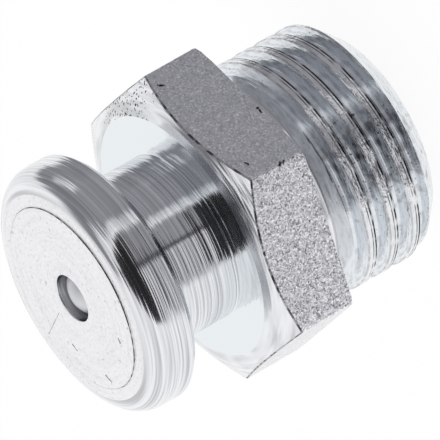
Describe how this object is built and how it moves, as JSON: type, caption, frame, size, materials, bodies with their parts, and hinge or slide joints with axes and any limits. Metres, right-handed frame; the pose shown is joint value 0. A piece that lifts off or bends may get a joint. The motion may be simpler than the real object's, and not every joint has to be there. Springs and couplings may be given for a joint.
{
  "type": "grease nipple",
  "caption": "Flat grease nipple with a button head, hexagon and metric fine thread, turned in one piece, with a sprung ball valve inside.",
  "frame": {"origin": "middle of the thread's end face, on the axis", "axes": "+Z along the axis from the thread to the button head, +X through a corner of the hexagon"},
  "size_m": [0.0126, 0.011, 0.0136],
  "materials": {
    "zinc_plated_steel": "turned steel, zinc plated and clear passivated, with a faint blue cast",
    "ball_steel": "hardened bearing steel, ground",
    "spring_steel": "drawn spring wire"
  },
  "bodies": {
    "body": {"nipple_body": "zinc_plated_steel", "valve_spring": "spring_steel"},
    "ball": {"valve_ball": "ball_steel"}
  },
  "joints": [
    {"name": "valve_slide", "type": "slide", "parent": "body", "child": "ball", "axis": [0, 0, -1], "range_m": [0, 0.0012], "stiffness_N_per_m": 540, "springref_m": -0.0015, "deforming": ["valve_spring"]}
  ]
}
